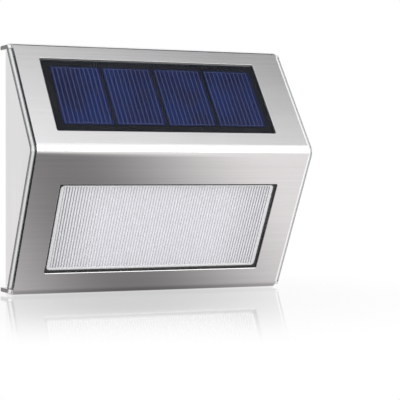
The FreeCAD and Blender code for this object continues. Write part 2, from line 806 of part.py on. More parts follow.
def backPlate():
    body = newBody("back_plate")
    plate = onBack(body)
    rectangle(plate, "backWidth", "backHeight")
    pad(body, plate, "backThick")
    rim = onBack(body, depth="backThick")
    rectangle(rim, "rimWidth", "rimHeight")
    rectangle(rim, "rimWidth - 2 * rimThick", "rimHeight - 2 * rimThick")
    pad(body, rim, "rimDeep")

    bay = onBack(body, "0", "bayZ", "backThick")
    rectangle(bay, "bayLong + 2 * bayWall", "bayHeight + 2 * bayWall")
    pad(body, bay, "bayDeep + bayWall - backThick")
    seat = onBack(body, "0", "bayZ", "backThick")
    around = "2 * doorGap + 2 * doorLedge"
    rectangle(seat, f"doorLong + {around}", f"doorHeight + {around}", "doorCorner")
    pad(body, seat, "doorSeat + doorLedge - backThick")

    posts = onBack(body, depth="backThick")
    for side in (-1, 1):
        circle(posts, f"{side} * ledPostX", "ledZ", "postRadius")
        circle(posts, f"{side} * controlPostX", "controlZ", "postRadius")
    pad(body, posts, "boardY - backThick")
    bosses = onBack(body, "0", "bayZ", "backThick")
    for side in (-1, 1):
        circle(bosses, f"{side} * doorScrewX", "0", "postRadius")
    pad(body, bosses, "doorBossDeep - backThick")

    recess = onBack(body, "0", "bayZ")
    rectangle(recess, "doorLong + 2 * doorGap", "doorHeight + 2 * doorGap", "doorCorner + doorGap")
    pocket(body, recess, "doorSeat", flip=True)
    hollow = onBack(body, "0", "bayZ")
    rectangle(hollow, "bayLong", "bayHeight")
    pocket(body, hollow, "bayDeep", flip=True)
    leadHoles = across(body)
    circle(leadHoles, "-bayLeadY", "bayZ", "leadRadius + leadGap")
    pocket(body, leadHoles, "bayLong + 2 * bayWall + 2 * cutOver", both=True)

    pilots = onBack(body, depth="boardY")
    for side in (-1, 1):
        circle(pilots, f"{side} * ledPostX", "ledZ", "smallHole")
        circle(pilots, f"{side} * controlPostX", "controlZ", "smallHole")
    pocket(body, pilots, "smallScrewLong - circuitThick + pilotOver")
    doorPilots = onBack(body, "0", "bayZ", "doorSeat")
    for side in (-1, 1):
        circle(doorPilots, f"{side} * doorScrewX", "0", "smallHole")
    pocket(body, doorPilots, "smallHeadSeat + smallScrewLong - doorSeat + pilotOver", flip=True)

    keyholes(body)
    switchSeat(body)

    steps = (("caseScrewRadius + screwGap", "backThick"), ("caseScrewHead + headGap", "headSeat"))
    for size, deep in steps:
        holes = onBack(body)
        for side in (-1, 1):
            for level in (-1, 1):
                circle(holes, f"{side} * bossX", f"{level} * bossZ", size)
        pocket(body, holes, deep, flip=True)


def keyholes(body):
    """Two closed cups behind keyhole cuts: a screw head enters below and hangs in the neck."""
    for side in (-1, 1):
        x = f"{side} * keyholeX"
        cup = onBack(body, x, "keyholeZ", "backThick")
        slot(cup, "0", "keyholeRise", "cupRadius + cupWall")
        pad(body, cup, "cupDeep + cupWall")
        hollow = onBack(body, x, "keyholeZ", "backThick")
        slot(hollow, "0", "keyholeRise", "cupRadius")
        pocket(body, hollow, "cupDeep", flip=True)
        entry = onBack(body, x, "keyholeZ")
        circle(entry, "0", "0", "keyholeEntry")
        pocket(body, entry, "backThick", flip=True)
        neck = onBack(body, x, "keyholeZ")
        slot(neck, "0", "keyholeRise", "keyholeNeck")
        pocket(body, neck, "backThick", flip=True)


def switchSeat(body):
    """Slot and shallow dish that the switch knob is reached through, and its screw holes."""
    dish = onBack(body, "switchX", "switchZ")
    rectangle(dish, "wayLong + 2 * dishMargin", "wayWide + 2 * dishMargin", "dishMargin")
    pocket(body, dish, "dishDeep", flip=True)
    way = onBack(body, "switchX", "switchZ")
    rectangle(way, "wayLong", "wayWide")
    pocket(body, way, "backThick", flip=True)
    holes = onBack(body, "switchX", "switchZ", "backThick")
    for side in (-1, 1):
        circle(holes, f"{side} * earHoleX", "0", "smallHole")
    pocket(body, holes, "earScrewLong - earThick + screwGap")


def backSeal():
    body = newBody("back_seal")
    ring = onBack(body, depth="backThick")
    rectangle(ring, "innerWidth - 2 * sealGap", "innerHeight - 2 * sealGap")
    rectangle(ring, "rimWidth + 2 * sealGap", "rimHeight + 2 * sealGap")
    pad(body, ring, "sealDeep")


# ---- battery, contacts and door ----

def battery():
    body = newBody("battery_cell")
    half = onBack(body, "0", "bayZ", "batteryY")
    left = "-(batteryLong + nubLong) / 2"
    right = "((batteryLong + nubLong) / 2 - nubLong)"
    outline(half, [
        (left, "0"),
        (f"{right} + nubLong", "0"),
        (f"{right} + nubLong", "nubRadius"),
        (right, "nubRadius"),
        (right, "batteryRadius - batteryEdge"),
        (f"{right} - batteryEdge", "batteryRadius"),
        (f"{left} + batteryEdge", "batteryRadius"),
        (left, "batteryRadius - batteryEdge"),
    ])
    revolve(body, half, "H_Axis")


def contact(label, side):
    """Pressed strip against the end of the bay, bowed out to the battery."""
    body = newBody(label)
    plan = sketchOn(body, "XY_Plane", "0", "-batteryY", "bayZ")
    wall = f"{side} * (bayLong / 2 - contactGap)"
    bow = f"{side} * ((batteryLong + nubLong) / 2 + contactThick + contactGap)"
    thick = f"({-side} * contactThick)"
    outer = [
        (wall, "-contactReach"),
        (wall, "-contactBowBase"),
        (bow, "-contactBowFlat"),
        (bow, "contactBowFlat"),
        (wall, "contactBowBase"),
        (wall, "contactReach"),
    ]
    inner = [(f"{x} + {thick}", y) for x, y in reversed(outer)]
    outline(plan, outer + inner)
    pad(body, plan, "contactHeight", both=True)


def batteryDoor():
    body = newBody("battery_door")
    face = onBack(body, "0", "bayZ")
    rectangle(face, "doorLong", "doorHeight", "doorCorner")
    pad(body, face, "doorThick")
    for size, deep in (("smallHole", "doorThick"), ("smallScrewHead + headGap", "smallHeadSeat")):
        holes = onBack(body, "0", "bayZ")
        for side in (-1, 1):
            circle(holes, f"{side} * doorScrewX", "0", size)
        pocket(body, holes, deep, flip=True)


def doorGasket():
    body = newBody("door_gasket")
    ring = onBack(body, "0", "bayZ", "doorThick")
    inner = "2 * doorSealInset"
    outer = f"{inner} + 2 * doorSealWidth"
    rectangle(ring, f"bayLong + {outer}", f"bayHeight + {outer}", "doorCorner")
    rectangle(ring, f"bayLong + {inner}", f"bayHeight + {inner}")
    pad(body, ring, "doorSealThick")


# ---- slide switch ----

def switchBody():
    body = newBody("switch_body")
    ears = onBack(body, "switchX", "switchZ", "backThick")
    rectangle(ears, "earSpan", "switchWide")
    pad(body, ears, "earThick")
    case = onBack(body, "switchX", "switchZ", "backThick")
    rectangle(case, "switchLong", "switchWide")
    pad(body, case, "earThick + switchDeep")
    room = onBack(body, "switchX", "switchZ", "backThick + earThick")
    rectangle(room, "switchLong - 2 * switchWall", "switchWide - 2 * switchWall")
    pocket(body, room, "switchDeep - switchWall", flip=True)
    way = onBack(body, "switchX", "switchZ", "backThick")
    rectangle(way, "wayLong", "wayWide")
    pocket(body, way, "earThick", flip=True)
    holes = onBack(body, "switchX", "switchZ", "backThick")
    for side in (-1, 1):
        circle(holes, f"{side} * earHoleX", "0", "smallScrewRadius + 2 * screwGap")
    pocket(body, holes, "earThick", flip=True)


def switchSlider():
    """Grooved knob on a wider foot that is held behind the ears, at its off position."""
    body = newBody("switch_slider")
    footY = "backThick + earThick + slideGap"
    foot = onBack(body, "knobRestX", "switchZ", footY)
    footLong = "switchLong - 2 * switchWall - switchTravel - 2 * slideGap"
    rectangle(foot, footLong, "switchWide - 2 * switchWall - 2 * slideGap")
    pad(body, foot, "slideThick")
    knob = onBack(body, "knobRestX", "switchZ", footY)
    rectangle(knob, "knobSide", "knobSide")
    pad(body, knob, "earThick + slideGap + knobProud", flip=True)
    for index in range(int(sizes["knobGrooves"])):
        place = f"(({index} - (knobGrooves - 1) / 2) * 2 * knobGroove)"
        groove = onBack(body, "knobRestX", "switchZ", "backThick - knobProud")
        rectangle(groove, "knobGroove", "knobSide + cutOver", x=place)
        pocket(body, groove, "knobGrooveDeep", flip=True)


# ---- screws ----

def screws(label, spots, seat, forward, small=True, long=None):
    """Pan heads with a cross recess, seated at a distance from the wall; forward is 1 where the
    shank runs forward and -1 where it runs to the wall."""
    kind = "smallScrew" if small else "caseScrew"
    long = long or f"{kind}Long"
    body = newBody(label)
    levels = (f"-{kind}HeadHigh", "0", f"{long} - screwTip", long)
    top, under, taper, tip = (f"-({seat} + {forward} * ({level}))" for level in levels)
    for x, z in spots:
        half = sketchOn(body, "XY_Plane", x, "0", z)
        outline(half, [
            ("0", top),
            (f"{kind}Head - headBevel", top),
            (f"{kind}Head", f"{top} + {forward} * headBevel"),
            (f"{kind}Head", under),
            (f"{kind}Radius", under),
            (f"{kind}Radius", taper),
            ("0", tip),
        ])
        revolve(body, half, "V_Axis")
        cross = onBack(body, x, z, f"-{top}")
        arm, side = f"({kind}Cross / 2)", "(recessWide / 2)"
        quarter = [(arm, f"-{side}"), (arm, side), (side, side)]
        corners = []
        for turn in range(4):
            corners += quarter
            quarter = [(negated(y), x) for x, y in quarter]
        outline(cross, corners)
        pocket(body, cross, "recessDeep", flip=forward > 0)


def negated(text):
    return text[1:] if text.startswith("-") else f"-{text}"


def mirrored(x, z):
    return [(f"{side} * {x}", z) for side in (-1, 1)]


# ---- leads held inside the housing ----

def lead(label, route):
    """Plain lead of straight eight-sided runs that lap at the corners; each spot is
    (x, depth, z)."""
    spots = [(x, f"-({depth})", z) for x, depth, z in route]
    places = [FreeCAD.Vector(*(value(text) for text in spot)) for spot in spots]
    headings = [(after - before).normalize() for before, after in zip(places, places[1:])]
    runs = []
    for index, heading in enumerate(headings):
        run = doc.addObject("Part::Prism", f"{label}_run")
        run.Polygon = leadSides
        run.Placement.Rotation = FreeCAD.Rotation(FreeCAD.Vector(0, 0, 1), heading)
        laps = [heading * (index > 0), heading * (index < len(headings) - 1)]
        for axis, text, lap in zip("xyz", spots[index], laps[0]):
            run.setExpression(f"Placement.Base.{axis}", bound(f"{text} - {lap:.0f} * leadRadius"))
        axis = max(range(3), key=lambda item: abs(heading[item]))
        length = f"abs({spots[index + 1][axis]} - ({spots[index][axis]}))"
        lapped = sum(abs(lap[axis]) for lap in laps)
        run.setExpression("Height", bound(f"{length} + {lapped:.0f} * leadRadius"))
        run.setExpression("Circumradius", "Sizes.leadRadius")
        runs.append(run)
    whole = runs[0]
    if len(runs) > 1:
        whole = doc.addObject("Part::MultiFuse", label)
        whole.Shapes = runs
    whole.Label = label
    nodes.append(whole)


def leads():
    """Two leads each from the panel, the battery, the lamps and the switch to the control board."""
    up, out = slopeSpot("upper", "panelLeadRise", "-(panelBack + leadGap)")
    onBoard = "boardFront + leadRadius + screwGap"
    for pair, (side, sign) in enumerate(((-1, "negative"), (1, "positive"))):
        lead(f"panel_lead_{sign}", [
            (f"{side} * panelLeadX", out, up),
            (f"{side} * panelLeadX", "boardFront", up),
        ])
        endX, endZ = f"{side} * (controlPostX - bayLeadEndX)", "controlZ - bayLeadEndZ"
        lead(f"battery_lead_{sign}", [
            (f"{side} * (bayLong / 2 - contactGap)", "bayLeadY", "bayZ"),
            (f"{side} * bayLeadX", "bayLeadY", "bayZ"),
            (f"{side} * bayLeadX", "bayLeadY", "bayTop + bayLeadOver"),
            (endX, "bayLeadY", "bayTop + bayLeadOver"),
            (endX, "bayLeadY", endZ),
            (endX, "boardFront", endZ),
        ])
        startX = f"-(controlPostX - lampLeadStartX + {pair} * leadPitch)"
        turnX = f"-(bayLong / 2 + bayWall + lampLeadOut + {pair} * leadPitch)"
        turnZ = f"bayTop + lampLeadOver + {pair} * leadPitch"
        lead(f"lamp_lead_{sign}", [
            (startX, onBoard, "controlZ - lampLeadStartZ"),
            (startX, onBoard, turnZ),
            (turnX, onBoard, turnZ),
            (turnX, onBoard, "ledZ + lampLeadEndZ"),
        ])
        startX = f"switchX + {side} * leadPitch"
        leaveY, turnZ = "switchRear - switchDeep / 2", "bayZ - bayHeight / 2"
        endZ = f"controlZ - switchLeadEndZ + {pair} * leadPitch"
        depth = f"switchRear + switchLeadOut + {pair} * leadPitch"
        lead(f"switch_lead_{sign}", [
            (startX, leaveY, "switchZ + switchWide / 2"),
            (startX, leaveY, turnZ),
            (startX, depth, turnZ),
            (startX, depth, endZ),
            ("controlPostX + switchLeadEndX", depth, endZ),
            ("controlPostX + switchLeadEndX", "boardFront", endZ),
        ])


def build():
    frontCover()
    sidePlate("side_plate_left", "-coverWidth / 2")
    sidePlate("side_plate_right", "coverWidth / 2 - plateThick")
    lightHousing()
    solarPanel()
    ribbedLens()
    lensGasket()
    reflector()
    for index, name in ((-1, "left"), (0, "centre"), (1, "right")):
        led(f"led_{name}", index)
    circuitBoard("led_board", "ledZ", "ledBoardWidth", "ledBoardHeight", "ledPostX")
    circuitBoard("control_board", "controlZ", "controlWidth", "controlHeight", "controlPostX")
    driverChip()
    inductor()
    backPlate()
    backSeal()
    battery()
    contact("battery_contact_negative", -1)
    contact("battery_contact_positive", 1)
    batteryDoor()
    doorGasket()
    switchBody()
    switchSlider()
    corners = [(f"{side} * bossX", f"{level} * bossZ") for side in (-1, 1) for level in (-1, 1)]
    screws("back_screws", corners, "headSeat", 1, small=False)
    screws("door_screws", mirrored("doorScrewX", "bayZ"), "smallHeadSeat", 1)
    screws("led_board_screws", mirrored("ledPostX", "ledZ"), "boardFront", -1)
    screws("control_board_screws", mirrored("controlPostX", "controlZ"), "boardFront", -1)
    ears = [(f"switchX + {side} * earHoleX", "switchZ") for side in (-1, 1)]
    screws("switch_screws", ears, "(backThick + earThick)", -1, long="earScrewLong")
    leads()


def check():
    """Stops at a failed object, a bad solid or a cut that removed nothing."""
    for item in doc.Objects:
        if "Invalid" in item.State or "Error" in item.State:
            raise RuntimeError(f"{item.Label} failed: {item.State}")
        if item.TypeId == "PartDesign::Pocket":
            if item.Shape.Volume > item.BaseFeature.Shape.Volume - 1e-4:
                raise RuntimeError(f"{item.Label} cuts nothing")
    for node in nodes:
        if node.Shape.isNull() or not node.Shape.isValid() or not node.Shape.Solids:
            raise RuntimeError(f"{node.Label} is not a valid solid")


build()
doc.recompute()
check()
os.makedirs("parts", exist_ok=True)
for node in nodes:
    node.Shape.exportStep(f"parts/{node.Label}.step")
    print(f"{node.Label}: {len(node.Shape.Solids)} solids, {node.Shape.Volume:.1f} mm3")
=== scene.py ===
import json
import math

import bpy
from mathutils import Matrix, Vector


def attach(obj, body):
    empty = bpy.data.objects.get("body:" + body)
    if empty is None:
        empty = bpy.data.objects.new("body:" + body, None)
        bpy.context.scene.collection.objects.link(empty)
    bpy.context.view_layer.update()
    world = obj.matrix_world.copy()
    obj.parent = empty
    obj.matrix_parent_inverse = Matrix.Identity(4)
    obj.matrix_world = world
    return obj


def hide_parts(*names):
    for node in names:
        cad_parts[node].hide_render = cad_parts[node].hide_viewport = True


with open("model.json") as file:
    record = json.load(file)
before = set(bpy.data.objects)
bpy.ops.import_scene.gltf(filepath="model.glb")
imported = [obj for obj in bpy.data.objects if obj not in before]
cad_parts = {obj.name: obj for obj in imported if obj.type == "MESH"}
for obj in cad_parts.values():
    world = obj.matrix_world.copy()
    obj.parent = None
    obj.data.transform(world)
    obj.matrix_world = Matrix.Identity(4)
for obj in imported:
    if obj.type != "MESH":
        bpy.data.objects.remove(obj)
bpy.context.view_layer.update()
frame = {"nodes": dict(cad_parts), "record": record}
nodes = frame["nodes"]
print("frame loaded:", len(nodes), "pieces")

# lengths in metres, angles in degrees; the wall is at y = 0, the front at minus y

body = {
    "height": 0.100,
    "foldDepth": 0.042,      # wall to the fold corner
    "foldHeight": 0.0075,    # fold above the middle
    "topLip": 0.0095,
    "bottomLip": 0.010,
}
upperRise = body["height"] / 2 - body["foldHeight"]
lowerRise = body["height"] / 2 + body["foldHeight"]
upperLean = math.atan2(body["foldDepth"] - body["topLip"], upperRise)
lowerLean = math.atan2(body["foldDepth"] - body["bottomLip"], lowerRise)


class Wire:
    # a node's output; arithmetic on it adds Math nodes

    def __init__(self, graph, socket):
        self.graph = graph
        self.socket = socket

    def node(self, operation, *values, clamp=False):
        settings = {"operation": operation, "use_clamp": clamp}
        return self.graph.add("ShaderNodeMath", settings, dict(enumerate(values)))

    def take(self, operation, *others):
        return self.node(operation, self, *others)

    def __add__(self, other):
        return self.node("ADD", self, other)

    def __radd__(self, other):
        return self.node("ADD", other, self)

    def __sub__(self, other):
        return self.node("SUBTRACT", self, other)

    def __rsub__(self, other):
        return self.node("SUBTRACT", other, self)

    def __mul__(self, other):
        return self.node("MULTIPLY", self, other)

    def __truediv__(self, other):
        return self.node("DIVIDE", self, other)

    def __rtruediv__(self, other):
        return self.node("DIVIDE", other, self)

    def __gt__(self, other):
        return self.node("GREATER_THAN", self, other)

    def __lt__(self, other):
        return self.node("LESS_THAN", self, other)

    def size(self):
        return self.take("ABSOLUTE")

    def clamped(self):
        return self.node("ADD", self, 0.0, clamp=True)

    def band(self, low, high):
        # 0 below low, 1 above high, smooth between
        settings = {"interpolation_type": "SMOOTHSTEP"}
        values = {"Value": self, "From Min": low, "From Max": high}
        return self.graph.add("ShaderNodeMapRange", settings, values)


class Graph:
    # a node tree with one way to add a node: its type, its settings, its sockets

    def __init__(self, tree):
        self.tree = tree

    def add(self, kind, settings=None, values=None, out=0):
        node = self.tree.nodes.new(kind)
        for name, setting in (settings or {}).items():
            setattr(node, name, setting)
        for name, value in (values or {}).items():
            if isinstance(value, Wire):
                self.tree.links.new(value.socket, node.inputs[name])
            else:
                node.inputs[name].default_value = value
        return Wire(self, node.outputs[out]) if len(node.outputs) else node

    def split(self, vector):
        node = self.tree.nodes.new("ShaderNodeSeparateXYZ")
        self.tree.links.new(vector.socket, node.inputs[0])
        return [Wire(self, socket) for socket in node.outputs]

    def vectorMath(self, operation, first, second, out="Value"):
        values = {0: first, 1: second}
        return self.add("ShaderNodeVectorMath", {"operation": operation}, values, out)

    def ray(self, kind):
        return self.add("ShaderNodeLightPath", out=f"Is {kind} Ray")


class Finish(Graph):
    # a material and the few nodes that its looks are made of

    def __init__(self, name):
        self.material = bpy.data.materials.new(name)
        self.material.use_nodes = True
        self.material.node_tree.nodes.clear()
        super().__init__(self.material.node_tree)
        self.place = self.add("ShaderNodeTexCoord", out="Object")

    def axes(self):
        return self.split(self.place)

    def noise(self, scale, detail=2.0, roughness=0.5, vector=None):
        values = {"Vector": vector or self.place, "Scale": scale,
                  "Detail": detail, "Roughness": roughness}
        return self.add("ShaderNodeTexNoise", None, values)

    def streaks(self, scales, detail=2.0, roughness=0.5):
        # noise with a scale of its own along each axis
        drawn = self.add("ShaderNodeMapping", None, {"Vector": self.place, "Scale": scales})
        return self.noise(1.0, detail, roughness, drawn)

    def blend(self, amount, first, second):
        values = {"Factor": amount, 6: first, 7: second}
        return self.add("ShaderNodeMix", {"data_type": "RGBA"}, values, 2)

    def bump(self, height, strength, distance):
        values = {"Strength": strength, "Distance": distance, "Height": height}
        return self.add("ShaderNodeBump", None, values)

    def shader(self, **values):
        plain = {name.replace("_", " "): value for name, value in values.items()}
        return self.add("ShaderNodeBsdfPrincipled", None, plain)

    def mixed(self, amount, first, second):
        return self.add("ShaderNodeMixShader", None, {0: amount, 1: first, 2: second})

    def lightPasses(self, surface, tint):
        # lamps reach what lies behind a clear piece
        clear = self.add("ShaderNodeBsdfTransparent", None, {"Color": tint})
        return self.mixed(self.ray("Shadow"), surface, clear)

    def close(self, surface):
        self.add("ShaderNodeOutputMaterial", None, {"Surface": surface})
        return self.material


def grey(level):
    return (level, level, level, 1)


coverSteel = {
    "light": (0.80, 0.795, 0.805, 1),
    "dark": (0.755, 0.748, 0.758, 1),
    "lines": (14, 1500, 1500),    # brushing runs along the cover
    "broad": (5, 160, 160),
    "lineShare": 0.6,         # fine lines against broad ones
    "shadeBand": (0.32, 0.68),
    "roughness": 0.21,
    "spread": 0.06,           # roughness from streak to streak
    "smear": 38.0,
    "smearRoughness": 0.06,
    "bump": 0.5,
    "depth": 0.000006,
    "cut": (0.27, 0.265, 0.26, 1),    # the sheet's edges: painted shade darkens them, and they are also duller
    "cutRoughness": 0.24,
    "cutDepth": (0.00004, 0.00014),
    "foldHalf": 0.0045,       # no painted edge shade this near the fold, nor beyond the bends
    "bendHeight": 0.0465,
}


def belowFace(y, z):
    # depth under the cover's two outer faces
    over = []
    for lean, side in ((upperLean, 1), (lowerLean, -1)):
        outY, outZ = math.cos(lean), side * math.sin(lean)
        corner = body["foldDepth"] * outY + body["foldHeight"] * outZ
        over.append(y * -outY + z * outZ - corner)
    upper, lower = over
    return upper.take("MAXIMUM", lower) * -1.0


def brushed(name, look, shadedCuts=False):
    finish = Finish(name)
    lines = finish.streaks(look["lines"], roughness=0.6)
    broad = finish.streaks(look["broad"], detail=3.0)
    streak = lines * look["lineShare"] + broad * (1.0 - look["lineShare"])
    smear = finish.noise(look["smear"])
    base = finish.blend(streak.band(*look["shadeBand"]), look["dark"], look["light"])
    roughness = (look["roughness"] + (streak - 0.5) * look["spread"]
                 + (smear - 0.5) * look["smearRoughness"])
    # painted shade on the sheet's edges just below its outer faces; they are also rougher
    if shadedCuts:
        y, z = finish.axes()[1:]
        awayFromFold = (z - body["foldHeight"]).size() > look["foldHalf"]
        betweenBends = z.size() < look["bendHeight"]
        cut = belowFace(y, z).band(*look["cutDepth"]) * (awayFromFold * betweenBends)
        base = finish.blend(cut, base, look["cut"])
        roughness = roughness + cut * look["cutRoughness"]
    return finish.close(finish.shader(
        Base_Color=base,
        Metallic=1.0,
        Roughness=roughness,
        Normal=finish.bump(streak, look["bump"], look["depth"]),
    ))


endSteel = dict(
    coverSteel, light=(0.82, 0.82, 0.825, 1), dark=(0.76, 0.76, 0.765, 1),
    roughness=0.34, lines=(1500, 1500, 14), broad=(160, 160, 5),    # brushed upright
)
screwSteel = dict(
    coverSteel, light=(0.62, 0.61, 0.60, 1), dark=(0.42, 0.41, 0.40, 1),
    roughness=0.34, lines=(900, 900, 900), broad=(300, 300, 300),
)
nickel = dict(
    coverSteel, light=(0.78, 0.74, 0.66, 1), dark=(0.62, 0.58, 0.52, 1),
    roughness=0.24, lines=(700, 700, 40), broad=(120, 120, 120),
)

tray = {
    "bright": (0.92, 0.92, 0.94, 1),
    "dull": (0.86, 0.86, 0.88, 1),
    "metal": 0.35,
    "cloud": 60.0,
    "cloudBand": (0.3, 0.7),
    "roughness": 0.30,
    "cloudRoughness": 0.12,
    "ripple": 240.0,
    "bump": 0.35,
    "depth": 0.0001,
}


def silvered(name):
    finish = Finish(name)
    cloud = finish.noise(tray["cloud"], 4.0, 0.6).band(*tray["cloudBand"])
    ripple = finish.noise(tray["ripple"])
    return finish.close(finish.shader(
        Base_Color=finish.blend(cloud, tray["dull"], tray["bright"]),
        Metallic=tray["metal"],
        Roughness=tray["roughness"] + cloud * tray["cloudRoughness"],
        Normal=finish.bump(ripple, tray["bump"], tray["depth"]),
    ))


clearHousing = {
    "tint": (0.97, 0.985, 0.99, 1),
    "cloudiness": 0.02,
    "index": 1.49,
    "roughness": 0.03,
    "scuff": 420.0,
    "scuffBand": (0.45, 0.75),
    "dust": 55.0,
    "dustBand": (0.4, 0.8),
    "wearRoughness": 0.025,   # of scuffs and dust
    "steelEdge": (0.05803, 0.0585),    # painted shade: a dark band on the rim next to the cover's edge
    "edgeShade": (0.085, 0.09, 0.095, 1),
    "rimEnd": 0.0597,         # and painted shade on its end faces as well, so they look smoky
    "endShade": (0.30, 0.31, 0.32, 1),
}
clearLaminate = dict(clearHousing, tint=(0.93, 0.95, 0.97, 1), cloudiness=0.0, index=1.10)


def clearPlastic(name, look):
    finish = Finish(name)
    out = finish.axes()[0].size()
    low, high = look["steelEdge"]
    # painted shade on the rim beside the cover's edge and on the rim's end faces
    tone = finish.blend((out > low) * (out < high), look["tint"], look["edgeShade"])
    tone = finish.blend(out > look["rimEnd"], tone, look["endShade"])
    scuff = finish.noise(look["scuff"], 4.0, 0.6).band(*look["scuffBand"])
    dust = finish.noise(look["dust"], 3.0).band(*look["dustBand"])
    surface = finish.shader(
        Base_Color=tone,
        Roughness=look["roughness"] + (scuff + dust) * look["wearRoughness"],
        IOR=look["index"],
        Transmission_Weight=1.0 - look["cloudiness"],
    )
    return finish.close(finish.lightPasses(surface, look["tint"]))


lensLook = {
    "crest": (0.985, 0.982, 1.0, 1),
    # painted shade in the valleys between the ribs
    "valleyShade": (0.66, 0.66, 0.71, 1),
    "endValleyShade": (0.34, 0.34, 0.38, 1),     # deeper painted shade in the valleys towards the two ends
    "endReach": (0.024, 0.046),
    "crestLevel": -0.00124,   # below the steel face
    "valleyLevel": -0.00162,
    "clear": 0.20,            # share of light that passes straight through
    "index": 1.49,
    "roughness": 0.16,
    "cloud": 70.0,
    "cloudBand": (0.3, 0.7),
    "cloudRoughness": 0.05,
}


def ribbedPlastic(name, look):
    # frosted where the ribs rise, with painted shade in the valleys between them
    finish = Finish(name)
    x, y, z = finish.axes()
    crest = (belowFace(y, z) * -1.0).band(look["valleyLevel"], look["crestLevel"])
    cloud = finish.noise(look["cloud"], 3.0).band(*look["cloudBand"])
    nearEnd = x.size().band(*look["endReach"])
    valleyShade = finish.blend(nearEnd, look["valleyShade"], look["endValleyShade"])
    surface = finish.shader(
        Base_Color=finish.blend(crest, valleyShade, look["crest"]),
        Roughness=look["roughness"] + cloud * look["cloudRoughness"],
        IOR=look["index"],
        Transmission_Weight=look["clear"],
    )
    return finish.close(finish.lightPasses(surface, look["crest"]))


cellLook = {
    "deep": (0.0028, 0.0050, 0.030, 1),
    "blue": (0.0050, 0.0120, 0.062, 1),
    "violet": (0.0110, 0.0080, 0.036, 1),
    "crystal": 260.0,
    "crystalTone": 0.35,      # how far a crystal goes towards violet
    "patch": 70.0,
    "patchBand": (0.35, 0.65),
    "roughness": 0.34,
    "crystalRoughness": 0.1,
    "gloss": 0.06,
}


def silicon(name, look):
    finish = Finish(name)
    values = {"Vector": finish.place, "Scale": look["crystal"]}
    grain = finish.add("ShaderNodeTexVoronoi", None, values, "Color")
    crystal = finish.add("ShaderNodeRGBToBW", None, {0: grain})
    patch = finish.noise(look["patch"]).band(*look["patchBand"])
    base = finish.blend(patch, look["deep"], look["blue"])
    return finish.close(finish.shader(
        Base_Color=finish.blend(crystal * look["crystalTone"], base, look["violet"]),
        Roughness=look["roughness"] + crystal * look["crystalRoughness"],
        Specular_IOR_Level=look["gloss"],
    ))


silverPrint = {
    "dull": (0.040, 0.056, 0.130, 1),
    "bright": (0.080, 0.104, 0.200, 1),
    "metal": 0.4,
    "speck": 2600.0,
    "speckBand": (0.35, 0.65),
    "roughness": 0.42,
    "speckRoughness": 0.1,
}


def printedSilver(name, look):
    finish = Finish(name)
    speck = finish.noise(look["speck"], roughness=0.6).band(*look["speckBand"])
    return finish.close(finish.shader(
        Base_Color=finish.blend(speck, look["dull"], look["bright"]),
        Metallic=look["metal"],
        Roughness=look["roughness"] + speck * look["speckRoughness"],
    ))


plasticGrain = {
    "cloud": 45.0,
    "cloudBand": (0.3, 0.7),
    "cloudRoughness": 0.05,
    "grainRoughness": 0.14,
    "bump": 0.5,
}
plastics = {
    "black_rubber": {"name": "black_rubber", "base": grey(0.060), "shade": grey(0.036),
                     "roughness": 0.62, "grain": 1800.0, "depth": 0.00004},
    "black_board": {"name": "black_panel_board", "base": (0.0070, 0.0076, 0.0095, 1),
                    "shade": (0.0045, 0.0050, 0.0065, 1),
                    "roughness": 0.42, "grain": 1500.0, "depth": 0.00001, "gloss": 0.06},
    "foam": {"name": "foam_pad", "base": grey(0.10), "shade": grey(0.06),
             "roughness": 0.88, "grain": 2600.0, "depth": 0.00012},
    "chip": {"name": "chip_black", "base": grey(0.028), "shade": grey(0.02),
             "roughness": 0.5, "grain": 3000.0, "depth": 0.00002},
    "back_plastic": {"name": "back_plastic", "base": (0.048, 0.048, 0.052, 1),
                     "shade": (0.036, 0.036, 0.039, 1),
                     "roughness": 0.52, "grain": 1600.0, "depth": 0.00006},
    "switch_case": {"name": "switch_case", "base": grey(0.03), "shade": grey(0.022),
                    "roughness": 0.34, "grain": 2200.0, "depth": 0.00002},
    "knob": {"name": "switch_knob", "base": (0.62, 0.61, 0.58, 1),
             "shade": (0.54, 0.53, 0.50, 1),
             "roughness": 0.42, "grain": 1800.0, "depth": 0.00003},
    "lead_red": {"name": "lead_red", "base": (0.42, 0.018, 0.015, 1),
                 "shade": (0.32, 0.012, 0.010, 1),
                 "roughness": 0.36, "grain": 900.0, "depth": 0.00003},
    "lead_black": {"name": "lead_black", "base": grey(0.024), "shade": grey(0.016),
                   "roughness": 0.36, "grain": 900.0, "depth": 0.00003},
}


def moulded(name, base, shade, roughness, grain, depth, gloss=0.5):
    look = plasticGrain
    finish = Finish(name)
    texture = finish.noise(grain, roughness=0.6)
    cloud = finish.noise(look["cloud"], 3.0).band(*look["cloudBand"])
    return finish.close(finish.shader(
        Base_Color=finish.blend(cloud, shade, base),
        Roughness=(roughness + (texture - 0.5) * look["grainRoughness"]
                   + cloud * look["cloudRoughness"]),
        Specular_IOR_Level=gloss,
        Normal=finish.bump(texture, look["bump"], depth),
    ))


greenBoard = {
    "mask": (0.012, 0.11, 0.045, 1),
    "track": (0.020, 0.19, 0.075, 1),
    "tracks": 420.0,          # scale of their pattern
    "trackWidth": 0.12,       # as a share of a field between tracks
    "roughness": 0.32,
    "trackRoughness": 0.08,
    "lacquer": 0.4,
    "bump": 0.4,
    "depth": 0.00003,
}


def circuit(name, look):
    finish = Finish(name)
    values = {"Vector": finish.place, "Scale": look["tracks"]}
    run = finish.add("ShaderNodeTexVoronoi", {"feature": "DISTANCE_TO_EDGE"}, values)
    track = run < look["trackWidth"]
    return finish.close(finish.shader(
        Base_Color=finish.blend(track, look["mask"], look["track"]),
        Roughness=look["roughness"] + track * look["trackRoughness"],
        Coat_Weight=look["lacquer"],
        Normal=finish.bump(track, look["bump"], look["depth"]),
    ))


